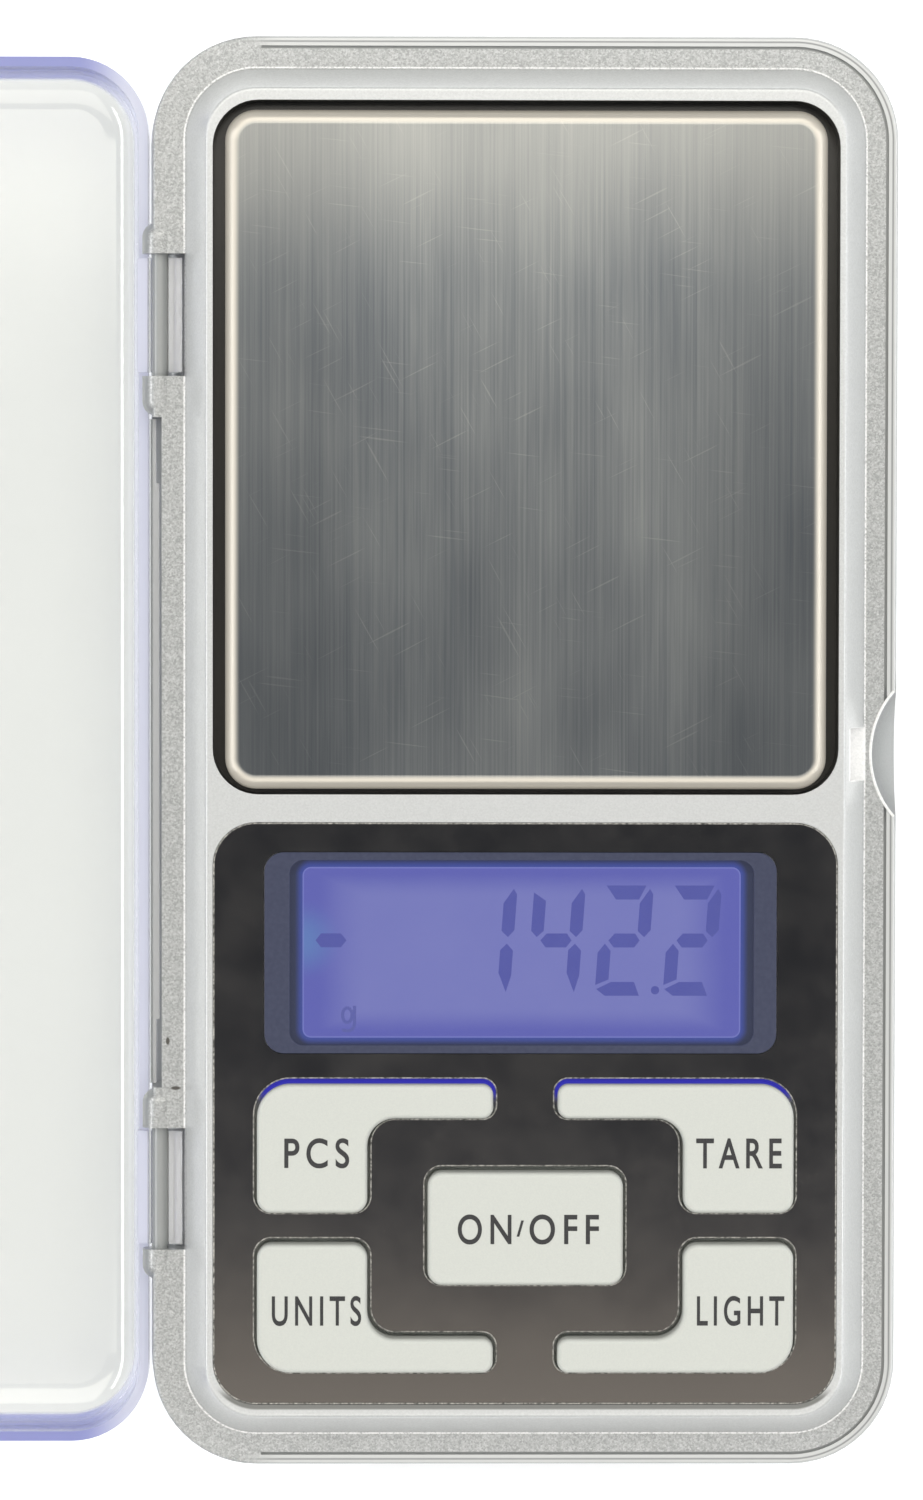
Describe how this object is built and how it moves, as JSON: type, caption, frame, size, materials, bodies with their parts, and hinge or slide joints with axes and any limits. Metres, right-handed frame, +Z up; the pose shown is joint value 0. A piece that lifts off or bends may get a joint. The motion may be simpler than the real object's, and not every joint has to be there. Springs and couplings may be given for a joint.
{
  "type": "digital gram scale",
  "caption": "Pocket gram scale with a clear flip-open lid, a brushed steel pan, a backlit display and press keys, shown with its lid open.",
  "frame": {"origin": "centre of the opened scale's footprint, on the plane that the feet stand on; the lid's hinge line lies 0.95 mm to -X of it", "axes": "+Z up, +Y from the keys towards the weighing pan, +X from the lid towards the case's finger notch"},
  "size_m": [0.1218, 0.12, 0.0177],
  "materials": {
    "silver_paint": "satin silver paint with fine metallic flake, on moulded ABS",
    "clear_polystyrene": "clear polished polystyrene with a faint blue edge",
    "brushed_stainless": "brushed along Y",
    "grey_abs": "moulded matte",
    "milled_aluminium": "milled",
    "zinc_steel": "zinc plated",
    "white_silicone": "soft matte",
    "wire_pvc": "PVC insulation",
    "black_acrylic": "black mirror",
    "smoked_acrylic": "smoked, clear",
    "lcd": "lit from behind, blue violet",
    "backlight": "light guide, blue",
    "conductive_rubber": "layered elastomer",
    "green_board": "solder mask",
    "chip_epoxy": "epoxy",
    "battery_sleeve": "printed sleeve, plain",
    "nickel_steel": "nickel plated",
    "foot_rubber": "matte",
    "ivory_key": "satin ivory",
    "dome_steel": "bright"
  },
  "bodies": {
    "case": {"upper_case": "silver_paint", "lower_case": "silver_paint", "load_cell": "milled_aluminium", "load_cell_screws": "zinc_steel", "case_screws": "zinc_steel", "board_screws": "zinc_steel", "gauge_cover": "white_silicone", "gauge_wires": "wire_pvc", "face_plate": "black_acrylic", "display_window": "smoked_acrylic", "lcd_glass": "lcd", "lcd_frame": "grey_abs", "backlight_panel": "backlight", "zebra_strip": "conductive_rubber", "circuit_board": "green_board", "controller_chip": "chip_epoxy", "battery_1": "battery_sleeve", "battery_2": "battery_sleeve", "battery_contacts": "nickel_steel", "battery_springs": "nickel_steel", "rubber_feet": "foot_rubber", "dome_pcs": "dome_steel", "dome_tare": "dome_steel", "dome_units": "dome_steel", "dome_light": "dome_steel", "dome_on_off": "dome_steel"},
    "lid": {"clear_lid": "clear_polystyrene"},
    "pan": {"weighing_pan": "brushed_stainless", "pan_carrier": "grey_abs", "carrier_screws": "zinc_steel"},
    "door": {"battery_door": "silver_paint"},
    "pcs_button": {"key_pcs": "ivory_key"},
    "tare_button": {"key_tare": "ivory_key"},
    "units_button": {"key_units": "ivory_key"},
    "light_button": {"key_light": "ivory_key"},
    "on_off_button": {"key_on_off": "ivory_key"}
  },
  "joints": [
    {"name": "lid_hinge", "type": "hinge", "parent": "case", "child": "lid", "pos_m": [-0.00095, 0, 0.0112], "axis": [0, 1, 0], "range_deg": [0, 180]},
    {"name": "pan_press", "type": "slide", "parent": "case", "child": "pan", "axis": [0, 0, 1], "range_m": [-0.0004, 0], "stiffness_N_per_m": 8000, "deforming": ["load_cell"]},
    {"name": "door_slide", "type": "slide", "parent": "case", "child": "door", "axis": [0, -1, 0], "range_m": [0, 0.053]},
    {"name": "pcs_press", "type": "slide", "parent": "case", "child": "pcs_button", "axis": [0, 0, 1], "range_m": [-0.00045, 0], "stiffness_N_per_m": 1500, "deforming": ["dome_pcs"]},
    {"name": "tare_press", "type": "slide", "parent": "case", "child": "tare_button", "axis": [0, 0, 1], "range_m": [-0.00045, 0], "stiffness_N_per_m": 1500, "deforming": ["dome_tare"]},
    {"name": "units_press", "type": "slide", "parent": "case", "child": "units_button", "axis": [0, 0, 1], "range_m": [-0.00045, 0], "stiffness_N_per_m": 1500, "deforming": ["dome_units"]},
    {"name": "light_press", "type": "slide", "parent": "case", "child": "light_button", "axis": [0, 0, 1], "range_m": [-0.00045, 0], "stiffness_N_per_m": 1500, "deforming": ["dome_light"]},
    {"name": "on_off_press", "type": "slide", "parent": "case", "child": "on_off_button", "axis": [0, 0, 1], "range_m": [-0.00045, 0], "stiffness_N_per_m": 1500, "deforming": ["dome_on_off"]}
  ]
}
